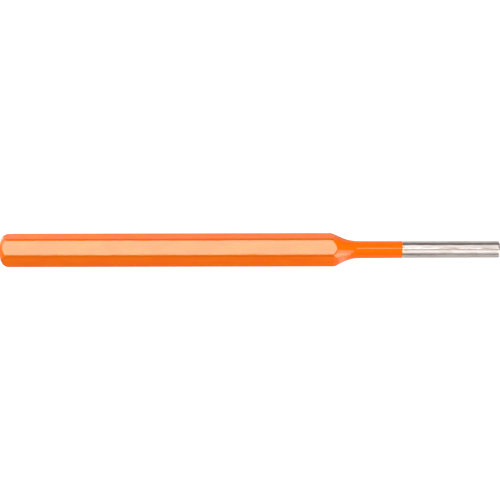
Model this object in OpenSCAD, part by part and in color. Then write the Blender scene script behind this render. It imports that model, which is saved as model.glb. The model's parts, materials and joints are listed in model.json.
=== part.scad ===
// Pin punch: one solid steel bar with a rounded striking head, a hexagonal shank, a tapered
// neck and a straight pin, under an orange coat that stops part of the way along the pin.
// It lies on one flat of its shank, on the plane z = 0, with its axis along X, its head at
// the -X end and its tip at the +X end. The origin is under the middle of its length.

/* [Lengths] */
// Length of the whole tool, from the coated head to the tip
total_len = 150; // [128:1:220]
// Length of the shank, from the coated head to where the neck begins
shank_len = 100; // [60:1:110]
// Length of the tool that the coat covers, from the coated head
coat_len = 120.8; // [112:0.1:145]

/* [Shank] */
// Width of the steel shank across its flats
shank_af = 8.88; // [8.4:0.02:14]
// Radius of the steel shank's six long corners
corner_r = 0.74; // [0.3:0.02:1.6]

/* [Head] */
// Radius of the curve that leads the striking face into the shank
head_r = 2.6; // [1:0.1:4]
// Angle at which that curve meets the shank's corners
head_edge_angle = 8; // [4:1:30]

/* [Neck] */
// Angle between the neck's straight taper and the axis
neck_angle = 26; // [15:1:35]
// Radius of the hollow curve that leads the taper into the pin
neck_r = 11.8; // [4:0.1:14]

/* [Pin] */
// Diameter of the bare steel pin, the same all along to its bevel
pin_d = 4.95; // [3:0.05:5]
// Diameter of the steel at the root of the pin, which narrows from there under the coat
root_d = 5.02; // [4.96:0.01:5.5]
// Length of the bevel round the tip, along the axis
bevel_len = 0.35; // [0.1:0.05:1.5]
// Depth of that bevel, towards the axis
bevel_depth = 0.2; // [0.1:0.05:0.9]

/* [Coat] */
// Thickness of the orange coat
coat_t = 0.06; // [0.04:0.01:0.3]

/* [Hidden] */

// How finely the turned surfaces are drawn
$fn = 96;
// How many steps each long corner takes, and each curve of the turned outline
corner_steps = 8;
curve_steps = 16;
// What a cut runs past the piece that it cuts
overrun = 1;

// The shank is a regular hexagon
sides = 6;
side_angle = 360 / sides;
half_side_angle = side_angle / 2;

// Distance from the axis to the centre of each corner's curve, and to the corner itself
corner_centre = (shank_af / 2 - corner_r) / cos(half_side_angle);
corner_reach = corner_centre + corner_r;

// Centre of the head's curve: its distance from the axis, and from the coated head
head_centre = corner_reach - head_r * cos(head_edge_angle);
head_centre_at = coat_t + head_r;

// Height of the axis over the plane that the coated shank lies on
axis_z = shank_af / 2 + coat_t;

// Points of an arc about [x, y], from one angle to the other
function arc(x, y, r, from, to, steps) = [
    for (i = [0 : steps])
        let (a = from + (to - from) * i / steps)
        [x + r * cos(a), y + r * sin(a)]
];

// Outline of the hexagonal shank, grown by a skin: two flats lie level, across the X direction
module shank_outline(skin) {
    polygon([
        for (i = [0 : sides - 1])
            let (a = half_side_angle + side_angle * i)
            each arc(
                corner_centre * cos(a),
                corner_centre * sin(a),
                corner_r + skin,
                a - half_side_angle,
                a + half_side_angle,
                corner_steps
            )
    ]);
}

// Half outline of what is turned about the axis, as [radius, distance from the coated head]:
// the striking face, the head's curve, a stretch clear of the shank's corners, the neck's
// taper, its hollow curve, the coated root of the pin, the bare pin and the bevel at its
// tip. A skin grows it all evenly.
module turned_outline(skin) {
    shank_r = corner_reach + skin;
    clear_r = head_centre + head_r + skin;
    shoulder_at = shank_len - (coat_t - skin) * tan(neck_angle / 2);

    root_r = root_d / 2 + skin;
    hollow_r = neck_r - skin;
    taper_r = root_r + hollow_r * (1 - cos(neck_angle));
    taper_len = (shank_r - taper_r) / tan(neck_angle);
    neck_end_at = shoulder_at + taper_len + hollow_r * sin(neck_angle);

    pin_r = pin_d / 2 + skin;
    tip_at = total_len + skin;

    polygon(concat(
        [[0, coat_t - skin]],
        arc(head_centre, head_centre_at, head_r + skin, -90, 0, curve_steps),
        [[clear_r, shoulder_at - (clear_r - shank_r) / tan(neck_angle)]],
        arc(root_r + hollow_r, neck_end_at, hollow_r, 180 + neck_angle, 180, curve_steps),
        [[pin_r, coat_len]],
        [[pin_r, tip_at - bevel_len], [pin_r - bevel_depth, tip_at], [0, tip_at]]
    ));
}

// The whole punch, grown by a skin, standing on its head with its axis along Z
module punch_form(skin) {
    intersection() {
        translate([0, 0, -overrun])
            linear_extrude(total_len + 2 * overrun)
                shank_outline(skin);
        rotate_extrude()
            turned_outline(skin);
    }
}

// Lays a piece that stands on its head along X, on the plane z = 0
module laid_down() {
    translate([-total_len / 2, 0, axis_z])
        rotate([0, 90, 0])
            children();
}

// The one steel bar: head, shank, neck and pin
module steel_punch() {
    color("silver")
        laid_down()
            punch_form(0);
}

// The orange coat: an even skin over the steel, from the head to its end line on the pin
module paint_coat() {
    color("darkorange")
        laid_down()
            difference() {
                punch_form(coat_t);
                punch_form(0);
                translate([0, 0, coat_len])
                    cylinder(h = total_len, r = corner_reach + overrun);
            }
}

steel_punch();
paint_coat();
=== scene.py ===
# %% [markdown]
# # A pin punch, from bar stock to picture
#
# A pin punch drives pins out of their holes. It is one hardened steel bar: a rounded head that a
# hammer strikes, a hexagonal shank that the hand holds, a neck turned down on a lathe, and a
# straight pin. A coat of orange lacquer covers it, and stops part of the way along the pin.
#
# This lesson makes the two pieces in the order of the workshop. The bar is drawn, the lathe cuts
# it, the coat is laid over it, and then both get their finishes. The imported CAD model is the
# frame: it says how long and how thick everything is, and nothing here changes that.

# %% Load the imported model
import json
import math

import bpy
from mathutils import Matrix, Vector


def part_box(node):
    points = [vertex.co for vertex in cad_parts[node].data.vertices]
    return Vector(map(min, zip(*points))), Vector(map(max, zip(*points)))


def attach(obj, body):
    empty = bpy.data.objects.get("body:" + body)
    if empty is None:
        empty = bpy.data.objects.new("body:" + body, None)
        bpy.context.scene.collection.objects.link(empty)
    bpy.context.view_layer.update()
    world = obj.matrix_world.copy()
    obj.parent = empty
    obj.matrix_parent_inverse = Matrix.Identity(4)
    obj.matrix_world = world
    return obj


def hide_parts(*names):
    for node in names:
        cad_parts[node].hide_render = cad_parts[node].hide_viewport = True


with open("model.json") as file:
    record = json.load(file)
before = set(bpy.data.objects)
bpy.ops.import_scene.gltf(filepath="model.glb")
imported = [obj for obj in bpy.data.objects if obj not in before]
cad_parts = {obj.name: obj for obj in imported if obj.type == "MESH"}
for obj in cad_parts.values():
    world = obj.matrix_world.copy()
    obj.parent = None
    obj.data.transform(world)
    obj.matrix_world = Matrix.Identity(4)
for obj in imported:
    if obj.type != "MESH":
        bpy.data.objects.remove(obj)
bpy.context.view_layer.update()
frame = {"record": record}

# %% [markdown]
# ## Measures
#
# The lengths and widths are read from the boxes of the two CAD solids, in millimetres, and turned
# into metres where they are drawn. A box doesn't show the curves and slopes of the turned form,
# so those repeat the CAD source. `d` is the distance from the coated head, and `r` the distance
# from the axis, which lies along X. So the head is at d = 0 and the tip at d = 150.

# %% Read the main sizes from the frame
MM = 0.001
coat_lo, coat_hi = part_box("paint_coat")
bar_lo, bar_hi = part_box("steel_punch")

head_x = coat_lo.x / MM
tip_at = bar_hi.x / MM - head_x
line_at = coat_hi.x / MM - head_x
film = (bar_lo.z - coat_lo.z) / MM
flat_r = (coat_hi.z - coat_lo.z) / MM / 2
corner_r = coat_hi.y / MM
axis_z = flat_r
print(f"length {tip_at:.1f}, paint line at {line_at:.1f}, film {film:.3f}")
print(f"over the coat: flats at {flat_r:.3f} from the axis, corners at {corner_r:.3f}")

# %% Name the sizes of the turned form
# Each radius is that of the steel, and the coat adds its film to it.
SHANK_END = 100.0
HEAD_ROUND = 2.6
HEAD_EDGE = math.radians(8)
CORNER_ROUND = 0.74
NECK_SLOPE = math.radians(26)
NECK_HOLLOW = 11.8
ROOT_R = 2.51
BEVEL_LONG, BEVEL_DEEP = 0.35, 0.2

pin_mount = next(m for m in frame["record"]["mounts"] if m["name"] == "pin")
PIN_R = pin_mount["dims"]["r_mm"]
print("radius of the bare pin, from its mount:", PIN_R)


# %% [markdown]
# ## The camera
#
# The photograph looks down on the tool, and leans about nine degrees towards the side that is
# nearest, so three of the six flats show. The camera stands half a metre over the middle of the
# tool. That is near enough to see both ends from inside: the flats seem to reach almost to the
# end of the head, and none of the striking face shows. The tool lies an eighth of a degree askew
# in the picture, so the camera is turned by that much.

# %% Set the camera
LEAN = math.radians(9)
TURN = -0.0022
VIEW_FAR = 0.5
FRAME_WIDE = 150.4 * MM
SENSOR_WIDE = 36
AIM_OFF = 0.05 * MM

look_at = Vector((AIM_OFF, 0, axis_z * MM))
facing = Matrix.Rotation(LEAN, 3, "X") @ Matrix.Rotation(TURN, 3, "Z")
camera_data = bpy.data.cameras.new("camera")
camera_data.sensor_width = SENSOR_WIDE
camera_data.lens = SENSOR_WIDE * VIEW_FAR / FRAME_WIDE
camera_data.clip_start, camera_data.clip_end = 0.1, 20
camera = bpy.data.objects.new("camera", camera_data)
bpy.context.scene.collection.objects.link(camera)
camera.location = look_at + facing @ Vector((0, -AIM_OFF, VIEW_FAR))
camera.rotation_euler = facing.to_euler()
bpy.context.scene.camera = camera
bpy.context.scene.view_settings.view_transform = "Standard"
print(f"lens {camera_data.lens:.0f} mm at {VIEW_FAR} m")


# %% [markdown]
# ## Floor, surroundings and lights
#
# Gloss shows what stands round the tool, so the studio is built with as much care as the tool.
# The camera sees a white floor. What the tool itself mirrors is a plain grey floor under a dark
# room, and only the lamps are bright in it. A Light Path node tells the two kinds of ray apart.
#
# A dark card lies before the shank, as a photographer lays one where a flat would look washed
# out. Only the tool mirrors it: the camera doesn't see it, and it casts no shadow.

# %% Helpers for nodes
def link(tree, out_socket, in_socket):
    tree.links.new(out_socket, in_socket)


def fresh_nodes(owner):
    owner.use_nodes = True
    owner.node_tree.nodes.clear()
    return owner.node_tree


def even_grey(tree, kind, level):
    """A shader of one kind, in one even grey."""
    shader = tree.nodes.new(kind)
    shader.inputs["Color"].default_value = (level, level, level, 1)
    return shader


def sum_of(tree, one, other):
    both = tree.nodes.new("ShaderNodeAddShader")
    link(tree, one.outputs[0], both.inputs[0])
    link(tree, other.outputs[0], both.inputs[1])
    return both


def split_by_ray(tree, for_camera, for_others, output_kind):
    """Shows one shader to the camera, and the other to every other ray."""
    path = tree.nodes.new("ShaderNodeLightPath")
    mix = tree.nodes.new("ShaderNodeMixShader")
    out = tree.nodes.new(output_kind)
    link(tree, path.outputs["Is Camera Ray"], mix.inputs["Fac"])
    link(tree, for_others.outputs[0], mix.inputs[1])
    link(tree, for_camera.outputs[0], mix.inputs[2])
    link(tree, mix.outputs[0], out.inputs["Surface"])


# %% Lay the floor
FLOOR_WIDE = 6
FLOOR_GREY = 0.36
FLOOR_SHEEN, FLOOR_ROUGH = 0.35, 0.2
FLOOR_GLOW = 0.86

bpy.ops.object.select_all(action="DESELECT")
bpy.ops.mesh.primitive_plane_add(size=FLOOR_WIDE, location=(0, 0, 0))
floor = bpy.context.object
floor.name = "floor"
floor_paint = bpy.data.materials.new("floor")
tree = fresh_nodes(floor_paint)
matt = even_grey(tree, "ShaderNodeBsdfDiffuse", FLOOR_GREY)
glow = even_grey(tree, "ShaderNodeEmission", FLOOR_GLOW)
sheen = even_grey(tree, "ShaderNodeBsdfGlossy", FLOOR_SHEEN)
sheen.inputs["Roughness"].default_value = FLOOR_ROUGH
split_by_ray(
    tree, sum_of(tree, matt, glow), sum_of(tree, matt, sheen), "ShaderNodeOutputMaterial",
)
floor.data.materials.append(floor_paint)
print("floor", floor.dimensions[:])

# %% Lay a dark card before the shank
CARD_GREY = 0.10
CARD_OVER_FLOOR = 0.0002
CARD_FROM, CARD_TO = Vector((-0.095, -0.085)), Vector((0.026, -0.007))

bpy.ops.object.select_all(action="DESELECT")
middle = (CARD_FROM + CARD_TO) / 2
bpy.ops.mesh.primitive_plane_add(size=1, location=(middle.x, middle.y, CARD_OVER_FLOOR))
card = bpy.context.object
card.name = "dark_card"
card.scale = (CARD_TO.x - CARD_FROM.x, CARD_TO.y - CARD_FROM.y, 1)
bpy.ops.object.transform_apply(location=True, rotation=True, scale=True)
card_paint = bpy.data.materials.new("dark card")
tree = fresh_nodes(card_paint)
matt = even_grey(tree, "ShaderNodeBsdfDiffuse", CARD_GREY)
link(tree, matt.outputs[0], tree.nodes.new("ShaderNodeOutputMaterial").inputs["Surface"])
card.data.materials.append(card_paint)
card.visible_camera = card.visible_shadow = False
print("card", [round(c, 3) for c in card.dimensions])

# %% Fill the room
room = bpy.context.scene.world or bpy.data.worlds.new("room")
bpy.context.scene.world = room
tree = fresh_nodes(room)
white = even_grey(tree, "ShaderNodeBackground", 1)
black = even_grey(tree, "ShaderNodeBackground", 0)
split_by_ray(tree, white, black, "ShaderNodeOutputWorld")


# %% Hang the lamps
LAMP_FAR = 2.0
LAMPS = {
    "long strip over the tool": (0, 8, 0.86, 0.21, 7.9),
    "tall panel beside the strip": (-28, 25, 1.2, 1.6, 3.0),
    "panel behind the head": (-35, 46, 1.4, 1.0, 6.6),
    "panel before the head": (-25, -30, 0.9, 1.9, 2.9),
    "panel beyond the tip": (45, -35, 1.7, 1.1, 3.0),
    "low panel before the tip": (48, -68, 1.4, 0.9, 4.7),
}


def hang_lamp(name, along, around, wide, tall, brightness):
    """A soft box that faces the tool. Its brightness is what a mirror shows of it.

    Its direction from the tool is given by two angles in degrees: `along` leans from straight
    up towards the tip, and `around` turns about the tool's axis, towards the far side.
    """
    lean, turn = math.radians(along), math.radians(around)
    away = Vector(
        (math.sin(lean), math.cos(lean) * math.sin(turn), math.cos(lean) * math.cos(turn))
    )
    data = bpy.data.lights.new(name, "AREA")
    data.shape = "RECTANGLE"
    data.size, data.size_y = wide, tall
    data.energy = brightness * math.pi * wide * tall
    lamp = bpy.data.objects.new(name, data)
    bpy.context.scene.collection.objects.link(lamp)
    across = (Vector((1, 0, 0)) - away * away.x).normalized()
    up = away.cross(across)
    spot = look_at + away * LAMP_FAR
    facing_tool = Matrix((across, up, away)).transposed().to_4x4()
    lamp.matrix_world = Matrix.Translation(spot) @ facing_tool
    lamp.visible_camera = False
    print(f"{name}: at {[round(c, 2) for c in spot]}, {data.energy:.1f} W")


for name, numbers in LAMPS.items():
    hang_lamp(name, *numbers)


# %% [markdown]
# ## The form that the lathe gives
#
# On the real tool a lathe rounds the head and cuts the neck and the pin out of the bar. In
# Blender a lathe is the Spin tool: half of the outline is drawn as one line of points, and spun
# about the axis. The same outline serves the steel and the coat, which is a film thicker.

# %% Draw the outline that is turned
ARC_STEPS = 40
PAST_CORNERS = 0.3


def arc_points(mid_d, mid_r, radius, start, stop):
    """Points of an arc, as (d, r). Angles are counted from the +d direction."""
    for i in range(ARC_STEPS + 1):
        a = start + (stop - start) * i / ARC_STEPS
        yield (mid_d + radius * math.cos(a), mid_r + radius * math.sin(a))


def turned_outline(skin):
    """(d, r) of everything that the lathe cuts, from the striking face to the tip."""
    reach = corner_r - film
    round_r = reach - HEAD_ROUND * math.cos(HEAD_EDGE)
    start = film - skin
    points = [(start, 0.0)]
    points += arc_points(film + HEAD_ROUND, round_r, HEAD_ROUND + skin, math.pi, math.pi / 2)

    # The taper starts past the corners, so that all of its first ring lies outside the bar.
    shank_r = reach + skin
    clear_r = round_r + HEAD_ROUND + skin + PAST_CORNERS
    shoulder = SHANK_END - (film - skin) * math.tan(NECK_SLOPE / 2)
    points.append((shoulder - (clear_r - shank_r) / math.tan(NECK_SLOPE), clear_r))

    root = ROOT_R + skin
    hollow = NECK_HOLLOW - skin
    taper_r = root + hollow * (1 - math.cos(NECK_SLOPE))
    taper = (shank_r - taper_r) / math.tan(NECK_SLOPE)
    neck_end = shoulder + taper + hollow * math.sin(NECK_SLOPE)
    points += arc_points(
        neck_end, root + hollow, hollow, math.pi * 1.5 - NECK_SLOPE, math.pi * 1.5,
    )

    pin = PIN_R + skin
    end = tip_at + skin
    points += [(line_at, pin), (end - BEVEL_LONG, pin), (end, pin - BEVEL_DEEP), (end, 0.0)]
    return points


def turned_radius(outline, d):
    """Radius of the outline at a distance from the head."""
    for (d0, r0), (d1, r1) in zip(outline, outline[1:]):
        if d0 <= d <= d1 and d1 > d0:
            return r0 + (r1 - r0) * (d - d0) / (d1 - d0)
    return 0.0


coat_outline = turned_outline(film)
bar_outline = turned_outline(0)
for d in (0.5, 3, 50, 102, 105, 110, 120, 149):
    print(f"d {d}: coat r {turned_radius(coat_outline, d):.3f}")


# %% Spin the outline into a form
TURN_STEPS = 384
SAME_POINT = 1e-7


def at(d, y=0.0, z=0.0):
    """A point in metres from its distance along the tool, and its place beside the axis."""
    return Vector(((head_x + d) * MM, y * MM, (axis_z + z) * MM))


def finish_modifier(piece, modifier):
    bpy.context.view_layer.objects.active = piece
    bpy.ops.object.modifier_apply(modifier=modifier.name)


def spin_form(name, outline):
    """Extrudes one vertex from point to point, and screws the line once round the axis."""
    bpy.ops.object.select_all(action="DESELECT")
    bpy.ops.mesh.primitive_plane_add(size=0.001, location=at(outline[0][0]))
    form = bpy.context.object
    form.name = name
    bpy.ops.object.mode_set(mode="EDIT")
    bpy.ops.mesh.select_mode(type="VERT")
    bpy.ops.mesh.select_all(action="SELECT")
    bpy.ops.mesh.merge(type="CENTER")
    for (d0, r0), (d1, r1) in zip(outline, outline[1:]):
        step = at(d1, z=r1) - at(d0, z=r0)
        bpy.ops.mesh.extrude_region_move(TRANSFORM_OT_translate={"value": step})
    bpy.ops.object.mode_set(mode="OBJECT")
    screw = form.modifiers.new("lathe", "SCREW")
    screw.axis = "X"
    screw.steps = screw.render_steps = TURN_STEPS
    screw.use_merge_vertices, screw.merge_threshold = True, SAME_POINT
    finish_modifier(form, screw)
    bpy.ops.object.transform_apply(location=True, rotation=True, scale=True)
    bpy.ops.object.mode_set(mode="EDIT")
    bpy.ops.mesh.select_all(action="SELECT")
    bpy.ops.mesh.remove_doubles(threshold=SAME_POINT)
    bpy.ops.mesh.normals_make_consistent(inside=False)
    bpy.ops.object.mode_set(mode="OBJECT")
    print(f"{name}: {len(form.data.vertices)} vertices")
    return form


coat_form = spin_form("turned form of the coat", coat_outline)
bar_form = spin_form("turned form of the bar", bar_outline)


# %% [markdown]
# ## The hexagonal bar
#
# The stock is a hexagonal bar with rolled, slightly rounded corners. Its end is a six-sided
# circle, whose corners are bevelled. The end is extruded in stretches, and each stretch is cut
# into rings: long ones where the bar stays as it is, and fine ones where the lathe will cut.

# %% Helpers for choosing and measuring
SAME_PLACE = 5e-6


def choose(mesh_object, kind, test):
    """Selects the vertices, edges or faces of a mesh for which a test holds."""
    bpy.ops.mesh.select_mode(type=kind)
    bpy.ops.mesh.select_all(action="DESELECT")
    bpy.ops.object.mode_set(mode="OBJECT")
    mesh = mesh_object.data
    parts = {"VERT": mesh.vertices, "EDGE": mesh.edges, "FACE": mesh.polygons}[kind]
    for part in parts:
        part.select = test(mesh, part)
    bpy.ops.object.mode_set(mode="EDIT")


def ends_of(mesh, edge):
    return [mesh.vertices[i].co for i in edge.vertices]


def lies_across(face, x):
    """Whether a face lies across the axis, at a place along it."""
    return abs(face.center.x - x) < SAME_PLACE and abs(face.normal.x) > 0.9


def scale_to_axis(factor):
    bpy.ops.transform.resize(value=(1, factor, factor), center_override=at(0))


def bar_size(skin):
    """Half the bar's width across its flats, and the radius of its corners."""
    return flat_r - film + skin, CORNER_ROUND + skin


# %% Draw the bar
# A bevel with this profile comes out as a round arc on the hexagon's 120-degree corners.
ROUND_PROFILE = 0.536
LONG_EDGE = 2 * MM
# The length of each stretch in millimetres, and how many rings it is cut into
AT_HEAD, AT_SHANK, AT_NECK = (6, 50), (91, 14), (13, 130)
NECK_PASSED = AT_HEAD[0] + AT_SHANK[0] + AT_NECK[0]


def draw_bar(name, skin, stretches, corner_steps, flat_cuts, cap_rings):
    """A hexagonal bar with its length cut into rings, as long as the stretches together."""
    across, rounding = bar_size(skin)
    bpy.ops.object.select_all(action="DESELECT")
    start = film - skin
    bpy.ops.mesh.primitive_circle_add(
        vertices=6, radius=across / math.cos(math.pi / 6) * MM, fill_type="NGON",
        location=at(start), rotation=(0, math.pi / 2, 0),
    )
    bar = bpy.context.object
    bar.name = name
    bpy.ops.object.transform_apply(location=True, rotation=True, scale=True)
    bpy.ops.object.mode_set(mode="EDIT")
    bpy.ops.mesh.select_mode(type="VERT")
    bpy.ops.mesh.select_all(action="SELECT")
    bpy.ops.mesh.bevel(
        offset=rounding * math.tan(math.pi / 6) * MM, offset_type="OFFSET",
        segments=corner_steps, profile=ROUND_PROFILE, affect="VERTICES", clamp_overlap=False,
    )
    choose(bar, "EDGE", lambda m, e: (ends_of(m, e)[0] - ends_of(m, e)[1]).length > LONG_EDGE)
    bpy.ops.mesh.subdivide(number_cuts=flat_cuts)

    d = start
    for length, rings in stretches:
        here = at(d).x
        choose(bar, "FACE", lambda m, f: lies_across(f, here))
        bpy.ops.mesh.extrude_region_move(TRANSFORM_OT_translate={"value": (length * MM, 0, 0)})
        if rings > 1:
            choose(
                bar, "EDGE",
                lambda m, e: min(c.x for c in ends_of(m, e)) > here - SAME_PLACE
                and abs(abs(ends_of(m, e)[0].x - ends_of(m, e)[1].x) - length * MM) < SAME_PLACE,
            )
            bpy.ops.mesh.subdivide(number_cuts=rings - 1)
        d += length

    for end, rings in ((start, cap_rings[0]), (d, cap_rings[1])):
        here = at(end).x
        choose(bar, "FACE", lambda m, f: lies_across(f, here) and len(f.vertices) > 4)
        share = 1.0
        for i in range(rings):
            bpy.ops.mesh.extrude_region_move(TRANSFORM_OT_translate={"value": (0, 0, 0)})
            smaller = 1 - (i + 1) / (rings + 1)
            scale_to_axis(smaller / share)
            share = smaller
        bpy.ops.mesh.poke()
    bpy.ops.mesh.select_all(action="SELECT")
    bpy.ops.mesh.normals_make_consistent(inside=False)
    bpy.ops.object.mode_set(mode="OBJECT")
    print(f"{name}: {len(bar.data.vertices)} vertices, {d:.2f} mm long")
    return bar


coat = draw_bar(
    "orange_coat", film,
    stretches=[AT_HEAD, AT_SHANK, AT_NECK, (line_at - NECK_PASSED, 10)],
    corner_steps=14, flat_cuts=15, cap_rings=(24, 0),
)
steel = draw_bar(
    "steel_bar", 0,
    stretches=[
        AT_HEAD, AT_SHANK, AT_NECK, (line_at - NECK_PASSED - film, 10),
        (tip_at - line_at - 1, 29), (1, 12),
    ],
    corner_steps=8, flat_cuts=19, cap_rings=(24, 14),
)


# %% [markdown]
# ## Turning the bar down
#
# Where the bar stands outside the turned form, the lathe takes it away. A Shrinkwrap modifier in
# its Inside mode does the same: points inside the form stay, and points outside it move to the
# nearest place on it. That leaves the D-shaped ends of the six flats, as on the real neck.
#
# In the photograph those ends don't match a taper that is quite centred. So the taper is first
# moved towards the near side, by a quarter of a millimetre where it starts and by nothing where
# it runs out into the pin. The CAD solids stay centred.

# %% Set the taper a little off centre
OFF_CENTRE = 0.24
OFF_FROM, CENTRED_AT = 99, 106.5


def off_centre(d):
    """How far the turned form is off the axis, towards the near side."""
    if not OFF_FROM < d < CENTRED_AT:
        return 0.0
    return OFF_CENTRE * (CENTRED_AT - d) / (CENTRED_AT - SHANK_END)


for form in (coat_form, bar_form):
    bpy.ops.object.select_all(action="DESELECT")
    bpy.context.view_layer.objects.active = form
    bpy.ops.object.mode_set(mode="EDIT")
    rings = sorted({round(v.co.x / MM - head_x, 3) for v in form.data.vertices})
    rings = [d for d in rings if off_centre(d)]
    for d in rings:
        choose(form, "VERT", lambda m, v: abs(v.co.x / MM - head_x - d) < 0.001)
        bpy.ops.transform.translate(value=(0, -off_centre(d) * MM, 0))
    bpy.ops.object.mode_set(mode="OBJECT")
    print(f"{form.name}: {len(rings)} rings moved, by {off_centre(rings[0]):.3f} mm at most")


# %% Turn both bars
def turn_down(bar, form):
    cut = bar.modifiers.new("lathe cut", "SHRINKWRAP")
    cut.target = form
    cut.wrap_method = "NEAREST_SURFACEPOINT"
    cut.wrap_mode = "INSIDE"
    finish_modifier(bar, cut)


turn_down(coat, coat_form)
turn_down(steel, bar_form)
for form in (coat_form, bar_form):
    bpy.data.objects.remove(form)


# %% [markdown]
# ## Softening what the coat runs over
#
# Lacquer is drawn thin over an edge and lies thick beside it, so the edges where the flats meet
# the neck and the head look soft. The points near those edges are picked out by their place:
# there the bar and the turned form reach equally far from the axis. Then they are smoothed.

# %% Soften the ends of the flats
# From d, to d, how near a point lies to the edge, and how many times it is smoothed
SOFT_ENDS = ((97, 106, 0.10, 4), (0, 6, 0.12, 3))


def bar_reach(y, z, skin):
    """How far the hexagonal bar reaches from the axis, in the direction of a point."""
    turn = math.degrees(math.atan2(y, z)) % 60
    turn = math.radians(min(turn, 60 - turn))
    across, rounding = bar_size(skin)
    if math.tan(turn) * across < (across - rounding) * math.tan(math.pi / 6):
        return across / math.cos(turn)
    mid = (across - rounding) / math.cos(math.pi / 6)
    past = math.pi / 6 - turn
    return mid * math.cos(past) + math.sqrt(rounding ** 2 - (mid * math.sin(past)) ** 2)


def turned_reach(outline, d, y, z):
    """How far the turned form reaches from the axis, in the direction of a point."""
    return turned_radius(outline, d) - off_centre(d) * y / max(math.hypot(y, z), 0.001)


def soften(piece, outline, skin, first, last, band, times):
    """Smooths the points near the ends of the flats, between two distances from the head."""
    def near_edge(mesh, v):
        d = v.co.x / MM - head_x
        if not first < d < last:
            return False
        y, z = v.co.y / MM, v.co.z / MM - axis_z
        return abs(bar_reach(y, z, skin) - turned_reach(outline, d, y, z)) < band

    bpy.ops.object.select_all(action="DESELECT")
    bpy.context.view_layer.objects.active = piece
    bpy.ops.object.mode_set(mode="EDIT")
    choose(piece, "VERT", near_edge)
    bpy.ops.mesh.vertices_smooth(factor=0.5, repeat=times)
    bpy.ops.object.mode_set(mode="OBJECT")


for piece, outline, skin in ((coat, coat_outline, film), (steel, bar_outline, 0)):
    for soft_end in SOFT_ENDS:
        soften(piece, outline, skin, *soft_end)
    print(piece.name, "softened")


# %% [markdown]
# ## The coat's thickness and its end
#
# The film is a few hundredths of a millimetre thick. A Solidify modifier gives it its inner wall.
# Where it stops, wet lacquer draws back into a rounded lip, so the outer edge of the rim is
# bevelled. The line was masked by hand: it runs a little askew, and it wavers.

# %% Open the end of the coat and give it its wall
line_x = at(line_at).x
bpy.context.view_layer.objects.active = coat
bpy.ops.object.mode_set(mode="EDIT")
choose(coat, "FACE", lambda m, f: lies_across(f, line_x))
bpy.ops.mesh.delete(type="FACE")
bpy.ops.object.mode_set(mode="OBJECT")
wall = coat.modifiers.new("film", "SOLIDIFY")
wall.thickness = film * MM
wall.offset = -1
wall.use_rim = True
finish_modifier(coat, wall)
print(f"wall of {film:.3f} mm, {len(coat.data.vertices)} vertices")

# %% Round the lip and set the line askew
LINE_ASKEW = math.radians(2.3)
LIP_BEVEL = film * 0.7 * MM
RIM_OUTSIDE = (PIN_R + film * 0.6) * MM
LIP_LONG = 0.2 * MM


def from_axis(point):
    return math.hypot(point.y, point.z - axis_z * MM)


bpy.ops.object.mode_set(mode="EDIT")
choose(
    coat, "EDGE",
    lambda m, e: all(
        abs(c.x - line_x) < SAME_PLACE and from_axis(c) > RIM_OUTSIDE for c in ends_of(m, e)
    ),
)
bpy.ops.mesh.bevel(offset=LIP_BEVEL, segments=4, affect="EDGES")
choose(coat, "VERT", lambda m, v: v.co.x > line_x - LIP_LONG)
bpy.ops.transform.rotate(
    value=LINE_ASKEW, orient_axis="Z", orient_type="GLOBAL", center_override=at(line_at, y=PIN_R),
)
bpy.ops.object.mode_set(mode="OBJECT")
lip = [v.co for v in coat.data.vertices if v.co.x > line_x - 0.3 * MM]
print("the line lies between d =", [
    round(pick(c.x for c in lip if c.y * side > 2 * MM) / MM - head_x, 3)
    for side, pick in ((1, max), (-1, max))
])

# %% Let the line waver
WAVER_HIGH, WAVER_WIDE, WAVER_LONG = 0.12 * MM, 1.6 * MM, 0.4 * MM

near_line = coat.vertex_groups.new(name="near the line")
near_line.add(
    [v.index for v in coat.data.vertices if v.co.x > line_x - WAVER_LONG], 1.0, "REPLACE",
)
clouds = bpy.data.textures.new("hand-masked line", "CLOUDS")
clouds.noise_scale = WAVER_WIDE
waver = coat.modifiers.new("waver", "DISPLACE")
waver.texture, waver.texture_coords, waver.direction = clouds, "LOCAL", "X"
waver.strength, waver.mid_level = WAVER_HIGH, 0.5
waver.vertex_group = near_line.name
finish_modifier(coat, waver)
coat.vertex_groups.clear()
print(f"the line wavers by up to {WAVER_HIGH / MM / 2:.2f} mm each way")

# %% [markdown]
# ## Painted shade over the ends of the flats
#
# Over the edges at the ends of the flats the colour of the lacquer is darkened, as it is over the
# long
# corners: painted shade for the dark lines that these edges show. The paint can't tell those edges
# from a distance to the axis, so they are marked in an attribute of the mesh: 1 on the edge
# itself, and less beside it.

# %% Mark the painted shade over the ends of the flats
# From d, to d, and how wide the mark is on either side of the edge
EDGE_SHADE_LINES = ((0.3, 5, 0.14), (97, 104, 0.12))

marks = coat.data.attributes.new("thin", "FLOAT", "POINT")
marked = 0
for v, mark in zip(coat.data.vertices, marks.data):
    d, y, z = v.co.x / MM - head_x, v.co.y / MM, v.co.z / MM - axis_z
    for first, last, wide in EDGE_SHADE_LINES:
        if first < d < last:
            gap = abs(bar_reach(y, z, film) - turned_reach(coat_outline, d, y, z))
            mark.value = max(0.0, 1 - (gap / wide) ** 2)
            marked += gap < wide
print("thin at", marked, "points")

# %% Smooth both pieces
SMOOTH_UNDER = math.radians(35)

for piece in (coat, steel):
    bpy.ops.object.select_all(action="DESELECT")
    piece.select_set(True)
    bpy.context.view_layer.objects.active = piece
    bpy.ops.object.shade_smooth_by_angle(angle=SMOOTH_UNDER)
    piece.data.materials.clear()
    print(piece.name, len(piece.data.vertices), "vertices")


# %% [markdown]
# ## Finishes
#
# Both finishes depend on where a point lies on the tool, and both are uneven in patches and carry
# a few specks. Each of these is a node group, made once and used in both materials. All of them
# read Object coordinates, so the detail stays on the tool when the camera moves.

# %% Helpers for finishes
FLOAT = "NodeSocketFloat"
UM = 1e-6


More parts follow.
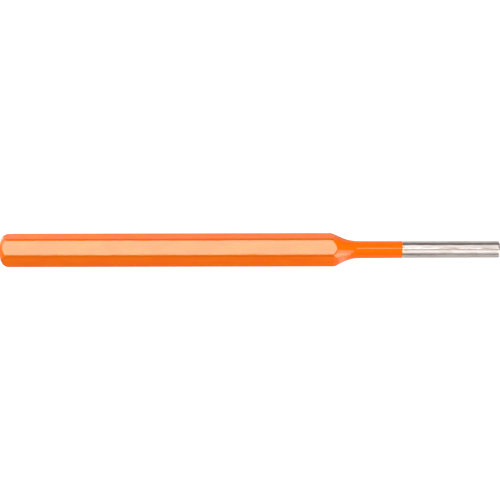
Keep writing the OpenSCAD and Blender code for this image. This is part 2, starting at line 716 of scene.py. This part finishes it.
def add(tree, kind, inputs=None, **settings):
    """Adds a node, sets its options, and links or fills its inputs."""
    made = tree.nodes.new(kind)
    for name, value in settings.items():
        setattr(made, name, value)
    for name, value in (inputs or {}).items():
        if isinstance(value, bpy.types.NodeSocket):
            link(tree, value, made.inputs[name])
        else:
            made.inputs[name].default_value = value
    return made


def maths(tree, operation, first, second=0.0):
    return add(tree, "ShaderNodeMath", {0: first, 1: second}, operation=operation).outputs[0]


def total(tree, *values):
    result = values[0]
    for value in values[1:]:
        result = maths(tree, "ADD", result, value)
    return result


def soft_step(tree, value, low, high, to_low=0.0, to_high=1.0):
    """Leads one number softly to another, between two levels of a value."""
    levels = {
        "Value": value, "From Min": low, "From Max": high, "To Min": to_low, "To Max": to_high,
    }
    step = add(tree, "ShaderNodeMapRange", levels, interpolation_type="SMOOTHSTEP")
    return step.outputs["Result"]


def mixed(tree, share, one, other):
    return add(tree, "ShaderNodeMix", {0: share, 6: one, 7: other}, data_type="RGBA").outputs[2]


def new_group(name, inputs, outputs):
    """An empty node group with number sockets. Returns the group, its start and its end."""
    group = bpy.data.node_groups.new(name, "ShaderNodeTree")
    for label, value in inputs.items():
        socket = group.interface.new_socket(label, in_out="INPUT", socket_type=FLOAT)
        socket.default_value = value
    for label in outputs:
        group.interface.new_socket(label, in_out="OUTPUT", socket_type=FLOAT)
    return group, group.nodes.new("NodeGroupInput"), group.nodes.new("NodeGroupOutput")


def use(tree, group, **inputs):
    """Places a node group. An underscore stands for the space in an input's name."""
    by_label = {label.replace("_", " "): value for label, value in inputs.items()}
    return add(tree, "ShaderNodeGroup", by_label, node_tree=group).outputs


def relief(tree, *layers):
    """A bump of several masks, each with its height in metres."""
    heights = [maths(tree, "MULTIPLY", mask, high) for mask, high in layers]
    bump = {"Strength": 1.0, "Distance": 1.0, "Height": total(tree, *heights)}
    return add(tree, "ShaderNodeBump", bump).outputs[0]


def give_finish(piece, material, shader):
    tree = material.node_tree
    out = tree.nodes.new("ShaderNodeOutputMaterial")
    link(tree, shader.outputs[0], out.inputs["Surface"])
    piece.data.materials.append(material)
    print(f"{material.name}: {len(tree.nodes)} nodes, on {piece.name}")


# %% Group: where a point lies on the tool
place, _, end = new_group("place on the tool", {}, ["Along", "Out"])
xyz = add(place, "ShaderNodeSeparateXYZ", {0: add(place, "ShaderNodeTexCoord").outputs["Object"]})
along_mm = maths(place, "SUBTRACT", maths(place, "DIVIDE", xyz.outputs["X"], MM), head_x)
side_mm = maths(place, "DIVIDE", xyz.outputs["Y"], MM)
over_mm = maths(place, "SUBTRACT", maths(place, "DIVIDE", xyz.outputs["Z"], MM), axis_z)
squares = total(
    place, maths(place, "MULTIPLY", side_mm, side_mm), maths(place, "MULTIPLY", over_mm, over_mm),
)
link(place, along_mm, end.inputs["Along"])
link(place, maths(place, "SQRT", squares), end.inputs["Out"])
print(place.name, "gives", [s.name for s in end.inputs if s.name])

# %% Group: uneven patches
patches, start, end = new_group(
    "uneven patches",
    {"Along": 0.5, "Around": 0.5, "Detail": 2.0, "Low": 0.35, "High": 0.65, "Seed": 0.0},
    ["Mask"],
)
given = start.outputs
spot = add(patches, "ShaderNodeTexCoord").outputs["Object"]
per_m = [maths(patches, "DIVIDE", given[label], MM) for label in ("Along", "Around", "Around")]
stretch = add(patches, "ShaderNodeCombineXYZ", dict(enumerate(per_m))).outputs[0]
stretched = add(
    patches, "ShaderNodeVectorMath", {0: spot, 1: stretch}, operation="MULTIPLY",
).outputs[0]
noise = add(
    patches, "ShaderNodeTexNoise",
    {"Vector": stretched, "W": given["Seed"], "Scale": 1.0, "Detail": given["Detail"]},
    noise_dimensions="4D",
)
patch_mask = soft_step(patches, noise.outputs[0], given["Low"], given["High"])
link(patches, patch_mask, end.inputs["Mask"])
print(patches.name, "takes", [s.name for s in start.outputs if s.name])

# %% Group: sparse specks
CELLS_LEFT_EMPTY = 0.6

specks, start, end = new_group("sparse specks", {"Per mm": 0.4, "Size": 0.1}, ["Mask"])
given = start.outputs
cells = add(
    specks, "ShaderNodeTexVoronoi",
    {
        "Vector": add(specks, "ShaderNodeTexCoord").outputs["Object"],
        "Scale": maths(specks, "DIVIDE", given["Per mm"], MM),
    },
)
round_spot = soft_step(specks, cells.outputs["Distance"], given["Size"], 0.0)
chance = add(specks, "ShaderNodeSeparateColor", {0: cells.outputs["Color"]}).outputs[0]
few = maths(specks, "GREATER_THAN", chance, CELLS_LEFT_EMPTY)
link(specks, maths(specks, "MULTIPLY", round_spot, few), end.inputs["Mask"])
print(specks.name, "takes", [s.name for s in start.outputs if s.name])

# %% [markdown]
# ### Orange lacquer
#
# One glossy coat, sprayed and baked. Its colour is darkened over the long corners and over the
# ends of the flats, as painted shade for the dark lines there, and darkened a little on the pin,
# as painted shade for the weaker light there. The gloss is not quite even, and faintly yellow, as
# the photograph's highlights are. The surface has a faint orange peel, a wave along the corners
# where the wet film drew back, and a few dust nibs.

# %% Paint
ORANGE = (0.99, 0.146, 0.001, 1)
ORANGE_DULL = (0.99, 0.168, 0.002, 1)
# Painted shade: a darker orange on the pin, for the weaker light that falls on it
ORANGE_PIN_SHADE = (0.97, 0.134, 0.001, 1)
# Painted shade: a darker orange laid over the long corners and the ends of the flats
ORANGE_EDGE_SHADE = (0.70, 0.118, 0.001, 1)
GLOSS_TINT = (1.0, 0.98, 0.855, 1)
# Distances from the axis, and then along the tool, between which a finish changes
CORNER_OUT, BESIDE_CORNER_OUT = (4.95, 5.03), (4.80, 4.97)
# Where the pin's painted shade begins and where it is whole, along the tool
PIN_SHADE_ALONG = (101.0, 108.0)
FLAT_END_SHARE = 0.7
ROUGH_FROM, ROUGH_TO = 0.06, 0.085
PEEL_HIGH, WAVE_HIGH, NIB_HIGH = 1.5 * UM, 8 * UM, 5 * UM

paint = bpy.data.materials.new("orange lacquer")
tree = fresh_nodes(paint)
where = use(tree, place)
flat_end_shade = add(tree, "ShaderNodeAttribute", attribute_name="thin").outputs["Fac"]
# Painted shade: the colour darkens over the long corners and, through the attribute, over the flat
# ends
thin = maths(
    tree, "MAXIMUM",
    soft_step(tree, where["Out"], *CORNER_OUT),
    maths(tree, "MULTIPLY", flat_end_shade, FLAT_END_SHARE),
)
beside_corner = soft_step(tree, where["Out"], *BESIDE_CORNER_OUT)

tone = use(tree, patches, Along=0.12, Around=0.3)["Mask"]
flat_colour = mixed(tree, tone, ORANGE, ORANGE_DULL)
# Painted shade: the orange darkens onto the pin, from d 101 to d 108
pin_shade = soft_step(tree, where["Along"], *PIN_SHADE_ALONG)
colour = mixed(tree, thin, mixed(tree, pin_shade, flat_colour, ORANGE_PIN_SHADE), ORANGE_EDGE_SHADE)

haze = use(tree, patches, Along=0.45, Around=0.8, Detail=3.0, Seed=4.0)["Mask"]
gloss = soft_step(tree, haze, 0.0, 1.0, ROUGH_FROM, ROUGH_TO)

peel = use(tree, patches, Along=0.9, Around=0.9, Detail=1.0, Low=0.2, High=0.8, Seed=2.0)["Mask"]
wave = use(tree, patches, Along=0.55, Around=0.9, Detail=2.0, Low=0.3, High=0.7, Seed=7.0)["Mask"]
nib = use(tree, specks, Per_mm=0.3, Size=0.09)["Mask"]
corner_wave = maths(tree, "MULTIPLY", wave, beside_corner)
surface = relief(tree, (peel, PEEL_HIGH), (corner_wave, WAVE_HIGH), (nib, NIB_HIGH))
lacquer = add(
    tree, "ShaderNodeBsdfPrincipled",
    {
        "Base Color": colour, "Roughness": gloss, "Normal": surface,
        "Specular Tint": GLOSS_TINT,
    },
)
give_finish(coat, paint, lacquer)

# %% [markdown]
# ### Ground steel
#
# The pin is ground between centres, and the wheel leaves fine marks that run round it. They
# spread each reflection along the pin, which an anisotropic gloss does, with its tangent running
# round the X axis. The grind isn't even: patches are duller, and broken streaks lie along it.
# Close to the coat, a painted reflection of the orange coat is mixed into the steel's colour. Its
# end is faced, which leaves rings.

# %% Steel
STEEL = (0.84, 0.75, 0.72, 1)
STEEL_DULL = (0.62, 0.52, 0.45, 1)
# Painted reflection of the orange coat, on the steel beside the paint line
STEEL_ORANGE_REFLECTION = (0.95, 0.72, 0.42, 1)
REFLECTION_LONG = 0.6
# How far before the tip the faced end begins, and is whole
FACE_FROM, FACE_WHOLE = 0.02, 0.005
RINGS_PER_MM = 4
STEEL_ROUGH_FROM, STEEL_ROUGH_TO = 0.33, 0.42
GRIND_HIGH, STREAK_HIGH, PIT_HIGH, RING_HIGH = 0.5 * UM, 10 * UM, -3 * UM, 2 * UM

metal = bpy.data.materials.new("ground steel")
tree = fresh_nodes(metal)
where = use(tree, place)
# Painted reflection: the steel takes the coat's orange over the first 0.6 mm past the line
orange_reflection = soft_step(tree, where["Along"], line_at + REFLECTION_LONG, line_at)
tip_face = soft_step(tree, where["Along"], tip_at - FACE_FROM, tip_at - FACE_WHOLE)

dull = use(tree, patches, Along=0.22, Around=1.1, Detail=5.0, Low=0.45, High=0.72)["Mask"]
bare_colour = mixed(tree, dull, STEEL, STEEL_DULL)
colour = mixed(tree, orange_reflection, bare_colour, STEEL_ORANGE_REFLECTION)
gloss = soft_step(tree, dull, 0.0, 1.0, STEEL_ROUGH_FROM, STEEL_ROUGH_TO)

grind = use(tree, patches, Along=7.0, Around=0.15, Detail=3.0, Low=0.2, High=0.8)["Mask"]
streak = use(tree, patches, Along=0.7, Around=3.5, Detail=3.0, Low=0.3, High=0.7, Seed=3.0)["Mask"]
rough_spots = use(
    tree, patches, Along=0.10, Around=0.4, Detail=1.0, Low=0.4, High=0.6, Seed=5.0,
)["Mask"]
broken = maths(tree, "MULTIPLY", streak, soft_step(tree, rough_spots, 0.0, 1.0, 0.35, 1.0))
pit = use(tree, specks, Per_mm=0.9, Size=0.16)["Mask"]
ring_angle = maths(tree, "MULTIPLY", where["Out"], 2 * math.pi * RINGS_PER_MM)
facing_rings = maths(tree, "MULTIPLY", maths(tree, "SINE", ring_angle), tip_face)
surface = relief(
    tree,
    (grind, GRIND_HIGH), (broken, STREAK_HIGH), (pit, PIT_HIGH), (facing_rings, RING_HIGH),
)
round_axis = add(tree, "ShaderNodeTangent", direction_type="RADIAL", axis="X")
bare = add(
    tree, "ShaderNodeBsdfPrincipled",
    {
        "Base Color": colour, "Metallic": 1.0, "Roughness": gloss, "Normal": surface,
        "Anisotropic": 0.89, "Anisotropic Rotation": 0.25, "Tangent": round_axis.outputs[0],
    },
)
give_finish(steel, metal, bare)


# %% [markdown]
# ## Handing the pieces over
#
# The two new pieces take the places of the two CAD solids, which go on doing the work that can't
# be seen: weight, contact and size.

# %% Join the pieces to the frame
for piece, node, finish in ((coat, "paint_coat", "paint"), (steel, "steel_punch", "steel")):
    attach(piece, "root")
    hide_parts(node)
